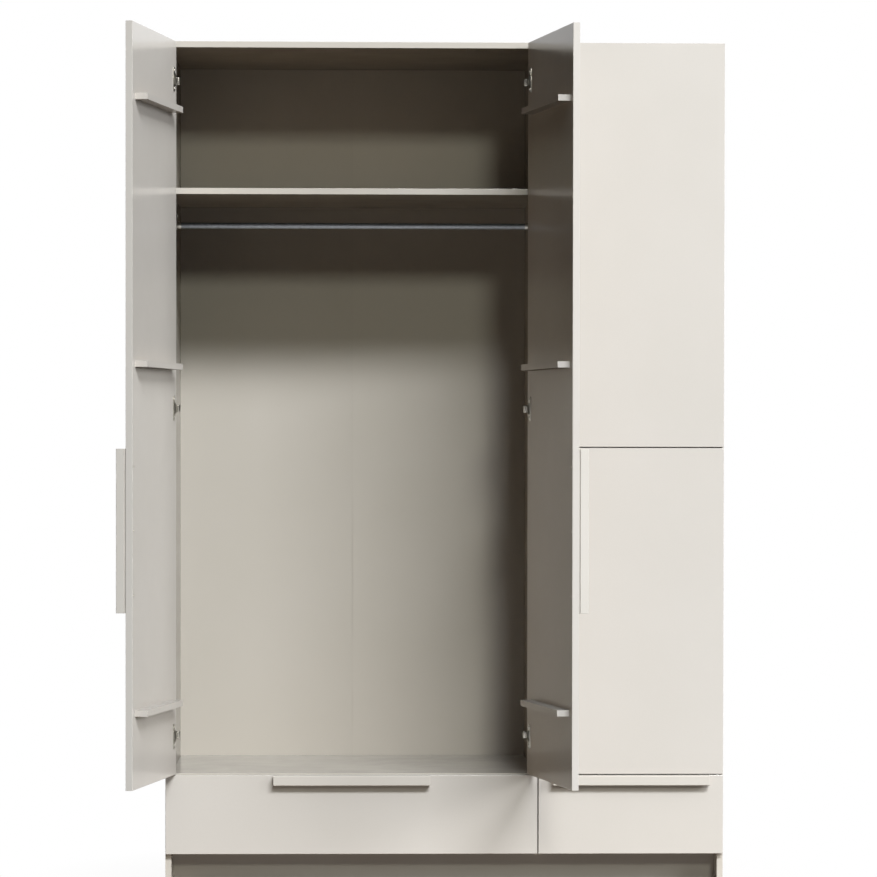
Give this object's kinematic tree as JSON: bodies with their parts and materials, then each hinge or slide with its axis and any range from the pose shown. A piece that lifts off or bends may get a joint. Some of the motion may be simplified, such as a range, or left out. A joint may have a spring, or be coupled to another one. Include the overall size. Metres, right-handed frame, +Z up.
{
  "type": "chifforobe",
  "caption": "Tall white wardrobe with full-height hinged doors over drawers, a hanging space with rail and hat shelf, a shelved column beside it, and a recessed plinth.",
  "frame": {"origin": "on the floor, under the middle of the carcass's footprint", "axes": "+Z up; the doors face -Y; +X to the right seen from the front"},
  "size_m": [1.6034, 1.1054, 2.3],
  "materials": {
    "carcass_board": "matt white melamine on chipboard",
    "front_board": "smooth matt white foil on board, edges rounded",
    "handle": "satin white painted lath",
    "thin_sheet": "thin white lacquered hardboard",
    "steel": "nickel-plated, satin",
    "runner_strip": "moulded strip, matt"
  },
  "bodies": {
    "carcass": {"side_left": "carcass_board", "side_right": "carcass_board", "top_panel": "carcass_board", "bottom_panel": "carcass_board", "divider": "carcass_board", "floor_left": "carcass_board", "floor_right": "carcass_board", "hat_shelf": "carcass_board", "fixed_shelf": "carcass_board", "loose_shelf_upper": "carcass_board", "loose_shelf_lower": "carcass_board", "plinth_front": "carcass_board", "plinth_brace": "carcass_board", "back_left": "thin_sheet", "back_right": "thin_sheet", "hanging_rail": "steel", "drawer_left_runner_left": "runner_strip", "drawer_left_runner_right": "runner_strip", "drawer_right_runner_left": "runner_strip", "drawer_right_runner_right": "runner_strip", "hinge_arm_left_1": "steel", "hinge_arm_left_2": "steel", "hinge_arm_left_3": "steel", "hinge_arm_middle_1": "steel", "hinge_arm_middle_2": "steel", "hinge_arm_middle_3": "steel", "hinge_arm_right_lower_1": "steel", "hinge_arm_right_lower_2": "steel", "hinge_arm_right_upper_1": "steel", "hinge_arm_right_upper_2": "steel"},
    "door_left": {"door_left": "front_board", "handle_left": "handle"},
    "door_middle": {"door_middle": "front_board", "handle_middle": "handle"},
    "door_right_lower": {"door_right_lower": "front_board", "handle_right_lower": "handle"},
    "door_right_upper": {"door_right_upper": "front_board", "handle_right_upper": "handle"},
    "straps_left": {"hinge_strap_left_1": "steel", "hinge_strap_left_2": "steel", "hinge_strap_left_3": "steel"},
    "straps_middle": {"hinge_strap_middle_1": "steel", "hinge_strap_middle_2": "steel", "hinge_strap_middle_3": "steel"},
    "straps_right_lower": {"hinge_strap_right_lower_1": "steel", "hinge_strap_right_lower_2": "steel"},
    "straps_right_upper": {"hinge_strap_right_upper_1": "steel", "hinge_strap_right_upper_2": "steel"},
    "drawer_left": {"drawer_left_front": "front_board", "drawer_left_side_left": "carcass_board", "drawer_left_side_right": "carcass_board", "drawer_left_back": "carcass_board", "drawer_left_bottom": "thin_sheet", "drawer_left_handle": "handle"},
    "drawer_right": {"drawer_right_front": "front_board", "drawer_right_side_left": "carcass_board", "drawer_right_side_right": "carcass_board", "drawer_right_back": "carcass_board", "drawer_right_bottom": "thin_sheet", "drawer_right_handle": "handle"}
  },
  "joints": [
    {"name": "door_left_hinge", "type": "hinge", "parent": "carcass", "child": "door_left", "pos_m": [-0.7405, -0.321, 1.3175], "axis": [0, 0, -1], "range_deg": [-100.5, 2]},
    {"name": "straps_left_pivot", "type": "hinge", "parent": "door_left", "child": "straps_left", "pos_m": [-0.72655, -0.32257, 1.3175], "axis": [0, 0, 1], "range_deg": [-157.24, 3.23]},
    {"name": "door_middle_hinge", "type": "hinge", "parent": "carcass", "child": "door_middle", "pos_m": [0.2405, -0.321, 1.3175], "axis": [0, 0, 1], "range_deg": [-100.5, 2]},
    {"name": "straps_middle_pivot", "type": "hinge", "parent": "door_middle", "child": "straps_middle", "pos_m": [0.22655, -0.32257, 1.3175], "axis": [0, 0, -1], "range_deg": [-157.24, 3.23]},
    {"name": "door_right_lower_hinge", "type": "hinge", "parent": "carcass", "child": "door_right_lower", "pos_m": [0.7405, -0.321, 0.775], "axis": [0, 0, 1], "range_deg": [0, 102.5]},
    {"name": "straps_right_lower_pivot", "type": "hinge", "parent": "door_right_lower", "child": "straps_right_lower", "pos_m": [0.7415, -0.307, 0.775], "axis": [0, 0, -1], "range_deg": [0, 160.37]},
    {"name": "door_right_upper_hinge", "type": "hinge", "parent": "carcass", "child": "door_right_upper", "pos_m": [0.7405, -0.321, 1.757], "axis": [0, 0, 1], "range_deg": [0, 102.5]},
    {"name": "straps_right_upper_pivot", "type": "hinge", "parent": "door_right_upper", "child": "straps_right_upper", "pos_m": [0.7415, -0.307, 1.757], "axis": [0, 0, -1], "range_deg": [0, 160.37]},
    {"name": "drawer_left_slide", "type": "slide", "parent": "carcass", "child": "drawer_left", "axis": [0, -1, 0], "range_m": [0, 0.35]},
    {"name": "drawer_right_slide", "type": "slide", "parent": "carcass", "child": "drawer_right", "axis": [0, -1, 0], "range_m": [0, 0.35]}
  ],
  "couplings": [
    {"joint": "straps_left_pivot", "follows": "door_left_hinge", "ratio": 1.5636},
    {"joint": "straps_middle_pivot", "follows": "door_middle_hinge", "ratio": 1.5636},
    {"joint": "straps_right_lower_pivot", "follows": "door_right_lower_hinge", "ratio": 1.5636},
    {"joint": "straps_right_upper_pivot", "follows": "door_right_upper_hinge", "ratio": 1.5636}
  ]
}
